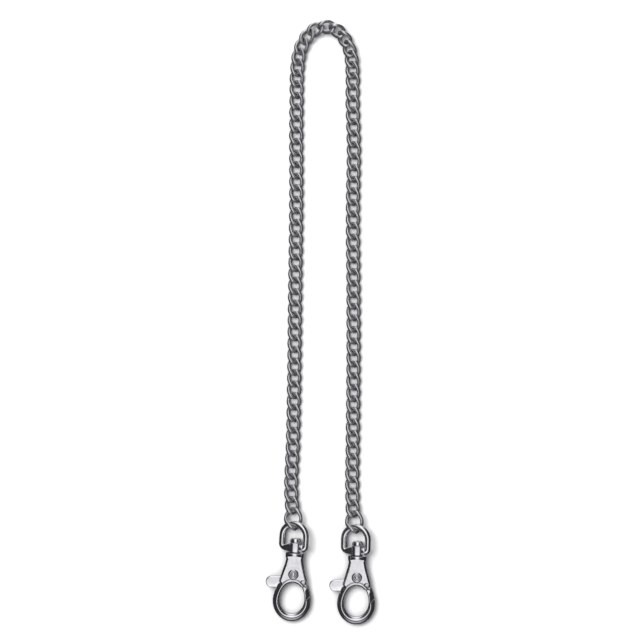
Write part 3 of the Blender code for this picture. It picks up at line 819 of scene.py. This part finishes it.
class Nodes:
    """Short calls for building one material's nodes."""

    def __init__(self, name):
        self.material = bpy.data.materials.new(name)
        self.material.use_nodes = True
        self.tree = self.material.node_tree
        self.shader = self.tree.nodes["Principled BSDF"]
        self.coordinates = self.tree.nodes.new("ShaderNodeTexCoord").outputs["Object"]

    def node(self, kind, **settings):
        made = self.tree.nodes.new(kind)
        for key, value in settings.items():
            setattr(made, key, value)
        return made

    def put(self, value, socket):
        if isinstance(value, bpy.types.NodeSocket):
            self.tree.links.new(value, socket)
        else:
            socket.default_value = value

    def scaled(self, scale):
        mapping = self.node("ShaderNodeMapping")
        self.put(self.coordinates, mapping.inputs["Vector"])
        mapping.inputs["Scale"].default_value = scale
        return mapping.outputs["Vector"]

    def noise(self, scale, detail=4.0, stretch=(1, 1, 1), roughness=0.55):
        made = self.node("ShaderNodeTexNoise")
        self.put(self.scaled(stretch), made.inputs["Vector"])
        made.inputs["Scale"].default_value = scale
        made.inputs["Detail"].default_value = detail
        made.inputs["Roughness"].default_value = roughness
        return made.outputs["Fac"]

    def ramp(self, factor, low, high, to_low=0.0, to_high=1.0):
        made = self.node("ShaderNodeMapRange")
        for value, name in ((factor, "Value"), (low, "From Min"), (high, "From Max"),
                            (to_low, "To Min"), (to_high, "To Max")):
            self.put(value, made.inputs[name])
        return made.outputs["Result"]

    def mix(self, factor, a, b):
        made = self.node("ShaderNodeMix", data_type="RGBA")
        for value, place in ((factor, 0), (a, 6), (b, 7)):
            self.put(value, made.inputs[place])
        return made.outputs[2]

    def maths(self, operation, a, b):
        made = self.node("ShaderNodeMath", operation=operation)
        self.put(a, made.inputs[0])
        self.put(b, made.inputs[1])
        return made.outputs[0]

    def bump(self, height, strength, distance, normal=None):
        made = self.node("ShaderNodeBump")
        made.inputs["Strength"].default_value = strength
        made.inputs["Distance"].default_value = distance
        self.put(height, made.inputs["Height"])
        if normal:
            self.put(normal, made.inputs["Normal"])
        return made.outputs["Normal"]


def plated_metal(name, bright, worn, grime_and_shade_tone, polished, flat_finish, scratch, depth):
    """Plated metal with worn patches, and painted shade in its crevices that is patchy like grime.
    polished and flat_finish are the roughness of curves and of flats, scratch a bump strength, and
    depth the reach of the painted crevice shade."""
    n = Nodes(name)
    n.shader.inputs["Metallic"].default_value = 1.0
    patches = n.ramp(n.noise(900, 3), 0.38, 0.66)
    tone = n.mix(patches, (*bright, 1), (*worn, 1))
    # Painted shade: an ambient-occlusion mask darkens crevices and the crossings of the links
    # towards a dark tone. Noise breaks it up like grime, and it roughens them.
    hollow = n.node("ShaderNodeAmbientOcclusion", samples=8)
    hollow.inputs["Distance"].default_value = depth * MM
    painted_crevice_shade = n.ramp(hollow.outputs["AO"], 0.15, 0.75, 1.0, 0.0)
    grime_and_shade = n.maths("MULTIPLY", painted_crevice_shade, n.ramp(n.noise(2600, 5), 0.3, 0.75, 0.45, 1.0))
    n.put(n.mix(grime_and_shade, tone, (*grime_and_shade_tone, 1)), n.shader.inputs["Base Color"])
    facing = n.node("ShaderNodeSeparateXYZ")
    n.put(n.node("ShaderNodeTexCoord").outputs["Normal"], facing.inputs[0])
    flat = n.ramp(n.maths("ABSOLUTE", facing.outputs["Z"], 0.0), 0.985, 0.998)
    finish = n.ramp(flat, 0, 1, polished, flat_finish)
    fine = n.ramp(n.noise(5200, 3, stretch=(1, 0.12, 1)), 0.3, 0.7, -0.03, 0.05)
    dull = n.maths("ADD", n.maths("ADD", finish, fine), n.ramp(patches, 0, 1, -0.02, 0.06))
    n.put(n.maths("ADD", dull, n.ramp(grime_and_shade, 0, 1, 0.0, 0.18)), n.shader.inputs["Roughness"])
    lines = n.bump(n.noise(3600, 2, stretch=(1.0, 0.06, 1.0)), scratch, 0.01 * MM)
    n.put(n.bump(n.noise(1500, 4), scratch, 0.02 * MM, lines), n.shader.inputs["Normal"])
    return n.material


def chain_metal():
    return plated_metal("chain_nickel_plate", (0.87, 0.87, 0.885), (0.74, 0.74, 0.76),
                        (0.2, 0.2, 0.205), polished=0.34, flat_finish=0.34, scratch=0.3, depth=0.8)


def hook_metal():
    return plated_metal("hook_nickel_plate", (0.90, 0.90, 0.915), (0.86, 0.86, 0.88),
                        (0.16, 0.16, 0.17), polished=0.13, flat_finish=0.36, scratch=0.16,
                        depth=0.7)


def pin_metal():
    return plated_metal("pin_nickel_plate", (0.72, 0.72, 0.735), (0.58, 0.58, 0.6),
                        (0.03, 0.03, 0.034), polished=0.16, flat_finish=0.16, scratch=0.2,
                        depth=0.9)


def spring_metal():
    return plated_metal("spring_wire", (0.42, 0.42, 0.44), (0.33, 0.33, 0.35),
                        (0.08, 0.08, 0.08), polished=0.32, flat_finish=0.32, scratch=0.3,
                        depth=0.5)


def table_top():
    """White surface with the faint mottle of matt card, and a painted contact shadow that turns it
    grey near the pieces.
    """
    n = Nodes("table_card")
    mottle = n.ramp(n.noise(60, 3), 0.3, 0.7)
    card = n.mix(mottle, (0.93, 0.93, 0.93, 1), (0.95, 0.95, 0.95, 1))
    # Painted shadow: ambient occlusion darkens the card towards grey within a few millimetres of the
    # chain and hooks.
    painted_shadow_probe = n.node("ShaderNodeAmbientOcclusion", samples=8)
    painted_shadow_probe.inputs["Distance"].default_value = PAINTED_SHADOW_REACH * MM
    shade = n.ramp(painted_shadow_probe.outputs["AO"], 0.35, 0.85, 0.6, 0.0)
    n.put(n.mix(shade, card, (0.3, 0.3, 0.31, 1)), n.shader.inputs["Base Color"])
    n.shader.inputs["Roughness"].default_value = 0.75
    return n.material


# ---------------------------------------------------------------- studio

def add_floor():
    """White table. The metal doesn't mirror it."""
    half = FLOOR_HALF
    mesh = bpy.data.meshes.new("table_surface")
    corners = [(-half, -half, 0), (half, -half, 0), (half, half, 0), (-half, half, 0)]
    mesh.from_pydata([tuple(c * MM for c in corner) for corner in corners], [], [(0, 1, 2, 3)])
    mesh.materials.append(table_top())
    floor = bpy.data.objects.new("table_surface", mesh)
    bpy.context.scene.collection.objects.link(floor)
    floor.visible_glossy = False


def add_key():
    """Large lamp at the upper left, which lights the table and throws the short soft shadow."""
    light = bpy.data.lights.new("key_softbox", "AREA")
    light.shape = "RECTANGLE"
    light.size = KEY_SIZE * MM
    light.size_y = KEY_SIZE * MM
    light.energy = KEY_WATTS
    key = bpy.data.objects.new("key_softbox", light)
    bpy.context.scene.collection.objects.link(key)
    key.location = [c * MM for c in KEY_PLACE]
    key.rotation_euler = Vector(key.location).to_track_quat("Z", "Y").to_euler()
    key.visible_glossy = False


def add_world():
    """Studio seen in the metal: a softbox overhead that reaches to the north, and dark sides."""
    world = bpy.data.worlds.new("studio")
    world.use_nodes = True
    tree = world.node_tree
    parts = tree.nodes.new("ShaderNodeSeparateXYZ")
    tree.links.new(tree.nodes.new("ShaderNodeTexCoord").outputs["Generated"], parts.inputs[0])
    across = tree.nodes.new("ShaderNodeMath")
    across.operation = "ABSOLUTE"
    tree.links.new(parts.outputs["X"], across.inputs[0])

    def fade(socket, low, high, to_low, to_high):
        made = tree.nodes.new("ShaderNodeMapRange")
        made.interpolation_type = "SMOOTHSTEP"
        tree.links.new(socket, made.inputs["Value"])
        for name, value in (("From Min", low), ("From Max", high), ("To Min", to_low),
                            ("To Max", to_high)):
            made.inputs[name].default_value = value
        return made.outputs["Result"]

    def times(a, b):
        made = tree.nodes.new("ShaderNodeMath")
        made.operation = "MULTIPLY"
        tree.links.new(a, made.inputs[0])
        tree.links.new(b, made.inputs[1])
        return made.outputs[0]

    tilt = tree.nodes.new("ShaderNodeMath")
    tilt.operation = "ARCTAN2"
    tree.links.new(parts.outputs["Y"], tilt.inputs[0])
    tree.links.new(parts.outputs["Z"], tilt.inputs[1])
    north = fade(tilt.outputs[0], *map(math.radians, BOX_NORTH), 1.0, 0.0)
    south = fade(tilt.outputs[0], *map(math.radians, BOX_SOUTH), 0.0, 1.0)
    box = times(times(fade(across.outputs[0], *BOX_SIDES, 1.0, 0.0), north), south)
    colour = tree.nodes.new("ShaderNodeMix")
    colour.data_type = "RGBA"
    tree.links.new(box, colour.inputs[0])
    colour.inputs[6].default_value = ROOM_DARK
    colour.inputs[7].default_value = SOFTBOX
    background = tree.nodes["Background"]
    tree.links.new(colour.outputs[2], background.inputs["Color"])
    bpy.context.scene.world = world


def add_camera():
    """Camera straight above, far enough for FRAME_WIDTH to fill the picture at the table."""
    data = bpy.data.cameras.new("camera")
    data.lens = CAMERA_LENS
    data.sensor_width = SENSOR
    data.clip_end = CAMERA_FAR * MM
    camera = bpy.data.objects.new("camera", data)
    bpy.context.scene.collection.objects.link(camera)
    height = FRAME_WIDTH * CAMERA_LENS / SENSOR
    camera.location = (CAMERA_X * MM, CAMERA_Y * MM, height * MM)
    bpy.context.scene.camera = camera
    bpy.context.scene.view_settings.view_transform = "Standard"


def main():
    random.seed(LOOSE_SEED)
    chain, hook, pin, spring = chain_metal(), hook_metal(), pin_metal(), spring_metal()
    ends = []
    for side in ("left", "right"):
        own = hook_frame(side)
        placed = PLACED @ own
        add_hook_body(side, placed, hook)
        add_swivel_rivet(side, placed, hook)
        add_swivel_bow(side, placed @ turn(1, -BOW_ROLL), hook)
        add_trigger(side, placed, hook)
        add_pivot_pin(side, placed, pin)
        add_spring(side, placed, spring)
        bow_point = moved(own @ turn(1, -BOW_ROLL), [(END_SLIDE, BOW_TOP, 0)])[0]
        add_end_link(side, bow_point, chain)
        ends.append(bow_point + (END_TO_BOW + END_TO_LINK) * unit(END_RUN[side]))
    add_chain(link_frames(tuple(ends[0]), tuple(ends[1])), chain)
    bpy.context.view_layer.update()
    settle(obj for obj in bpy.data.objects if "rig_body" in obj)
    add_floor()
    add_world()
    add_key()
    add_camera()


main()
